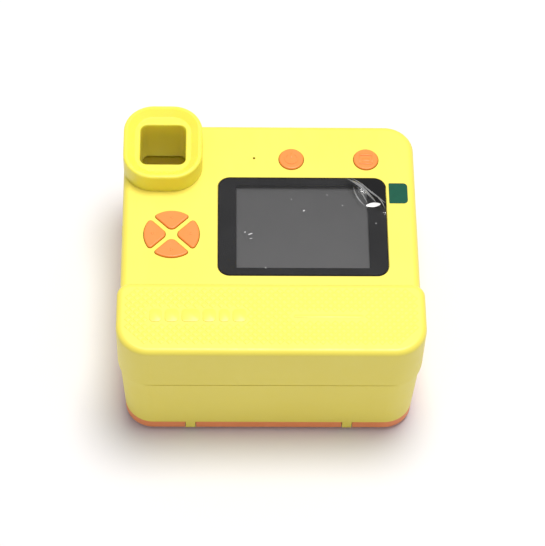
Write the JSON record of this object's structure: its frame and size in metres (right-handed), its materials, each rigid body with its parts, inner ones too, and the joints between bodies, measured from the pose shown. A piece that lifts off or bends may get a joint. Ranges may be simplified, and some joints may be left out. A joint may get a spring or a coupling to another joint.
{
  "type": "kids instant-print digital camera",
  "caption": "Chunky children's camera with rear screen, square eyepiece, direction keys and a textured flip-open door over a paper-roll printer.",
  "frame": {"origin": "centre of the footprint of the camera lying lens-down, on the surface that the lens ring rests on", "axes": "+Z out of the rear screen face, +Y towards the camera's top side with the shutter button, +X to the right seen from behind"},
  "size_m": [0.1122, 0.1102, 0.0587],
  "materials": {
    "yellow_shell": "fine satin moulded ABS",
    "tunnel_plastic": "satin moulded ABS, same yellow in shade",
    "orange_cover": "satin moulded ABS",
    "orange_buttons": "soft gloss",
    "clear_window": "clear acrylic, polished",
    "black_glass": "black-printed cover glass, polished",
    "optic_glass": "coated lens glass",
    "lcd_face": "switched-off display, low gloss",
    "clear_film": "thin clear protective film",
    "green_tab": "printed film",
    "yellow_trim": "polished trim ring",
    "black_plastic": "matt black",
    "frame_plastic": "matt dark grey, glass-filled",
    "circuit_board": "green solder mask",
    "steel": "bright zinc-plated or brushed",
    "heat_sink": "plain milled",
    "roller_rubber": "ground silicone rubber",
    "flap_rubber": "soft yellow rubber",
    "brass": "turned",
    "gear_plastic": "natural acetal",
    "thermal_paper": "coated white",
    "core_card": "wound grey-brown card",
    "battery_wrap": "blue wrapped pouch cell",
    "led_white": "phosphor-coated emitter"
  },
  "bodies": {
    "camera": {"battery": "battery_wrap", "board_screws": "steel", "camera_board": "circuit_board", "card_socket": "black_plastic", "case_screws": "steel", "door_hinge_pin": "steel", "eyepiece": "yellow_shell", "eyepiece_window": "clear_window", "film_tab": "green_tab", "flash_board": "circuit_board", "flash_led": "led_white", "flash_lens": "clear_window", "frame_screws": "steel", "front_cover": "orange_cover", "front_lens": "optic_glass", "front_shell": "yellow_shell", "front_window": "clear_window", "head_sink": "heat_sink", "head_springs": "steel", "image_sensor": "black_plastic", "lcd_module": "lcd_face", "lens_barrel": "black_plastic", "lens_ring": "yellow_trim", "lens_window": "black_glass", "main_board": "circuit_board", "microphone": "black_plastic", "print_head": "black_plastic", "printer_frame": "frame_plastic", "printer_motor": "steel", "rear_lens": "optic_glass", "rear_shell": "yellow_shell", "screen_film": "clear_film", "screen_glass": "black_glass", "shutter_board": "circuit_board", "shutter_switch": "black_plastic", "speaker": "black_plastic", "strap_bar": "steel", "tact_switches": "black_plastic", "tear_bar": "steel", "usb_port": "steel", "viewfinder_tube": "tunnel_plastic"},
    "door": {"paper_door": "yellow_shell", "platen_bushes": "brass"},
    "platen": {"platen_shaft": "steel", "platen_roller": "roller_rubber", "platen_gear": "gear_plastic"},
    "idler": {"idler_gear": "gear_plastic"},
    "pinion": {"motor_pinion": "gear_plastic", "motor_shaft": "steel"},
    "roll": {"paper_roll": "thermal_paper", "paper_core": "core_card"},
    "power_button": {"power_button": "orange_buttons"},
    "mode_button": {"mode_button": "orange_buttons"},
    "right_button": {"right_button": "orange_buttons"},
    "up_button": {"up_button": "orange_buttons"},
    "left_button": {"left_button": "orange_buttons"},
    "down_button": {"down_button": "orange_buttons"},
    "shutter_button": {"shutter_button": "orange_buttons"},
    "port_flap": {"port_flap": "flap_rubber"}
  },
  "joints": [
    {"name": "door_hinge", "type": "hinge", "parent": "camera", "child": "door", "pos_m": [0, -0.0511, 0.04382], "axis": [1, 0, 0], "range_deg": [0, 88]},
    {"name": "platen_spin", "type": "hinge", "parent": "door", "child": "platen", "pos_m": [0, -0.0291, 0.0447], "axis": [1, 0, 0], "continuous": true},
    {"name": "idler_spin", "type": "hinge", "parent": "camera", "child": "idler", "pos_m": [0.034, -0.02862, 0.03271], "axis": [1, 0, 0], "continuous": true},
    {"name": "pinion_spin", "type": "hinge", "parent": "camera", "child": "pinion", "pos_m": [0.034, -0.01835, 0.03053], "axis": [1, 0, 0], "continuous": true},
    {"name": "roll_spin", "type": "hinge", "parent": "camera", "child": "roll", "pos_m": [0, -0.03845, 0.0247], "axis": [1, 0, 0], "continuous": true},
    {"name": "power_button_press", "type": "slide", "parent": "camera", "child": "power_button", "axis": [0, 0, -1], "range_m": [0, 0.0006], "stiffness_N_per_m": 250},
    {"name": "mode_button_press", "type": "slide", "parent": "camera", "child": "mode_button", "axis": [0, 0, -1], "range_m": [0, 0.0006], "stiffness_N_per_m": 250},
    {"name": "right_button_press", "type": "slide", "parent": "camera", "child": "right_button", "axis": [0, 0, -1], "range_m": [0, 0.0006], "stiffness_N_per_m": 250},
    {"name": "up_button_press", "type": "slide", "parent": "camera", "child": "up_button", "axis": [0, 0, -1], "range_m": [0, 0.0006], "stiffness_N_per_m": 250},
    {"name": "left_button_press", "type": "slide", "parent": "camera", "child": "left_button", "axis": [0, 0, -1], "range_m": [0, 0.0006], "stiffness_N_per_m": 250},
    {"name": "down_button_press", "type": "slide", "parent": "camera", "child": "down_button", "axis": [0, 0, -1], "range_m": [0, 0.0006], "stiffness_N_per_m": 250},
    {"name": "shutter_button_press", "type": "slide", "parent": "camera", "child": "shutter_button", "axis": [0, -1, 0], "range_m": [0, 0.001], "stiffness_N_per_m": 250},
    {"name": "port_flap_hinge", "type": "hinge", "parent": "camera", "child": "port_flap", "pos_m": [-0.05465, -0.0149, 0.0424], "axis": [0, 0, 1], "range_deg": [0, 95], "stiffness_Nm_per_rad": 0.002}
  ],
  "couplings": [
    {"joint": "idler_spin", "follows": "platen_spin", "ratio": -0.6},
    {"joint": "pinion_spin", "follows": "platen_spin", "ratio": 1.5}
  ]
}
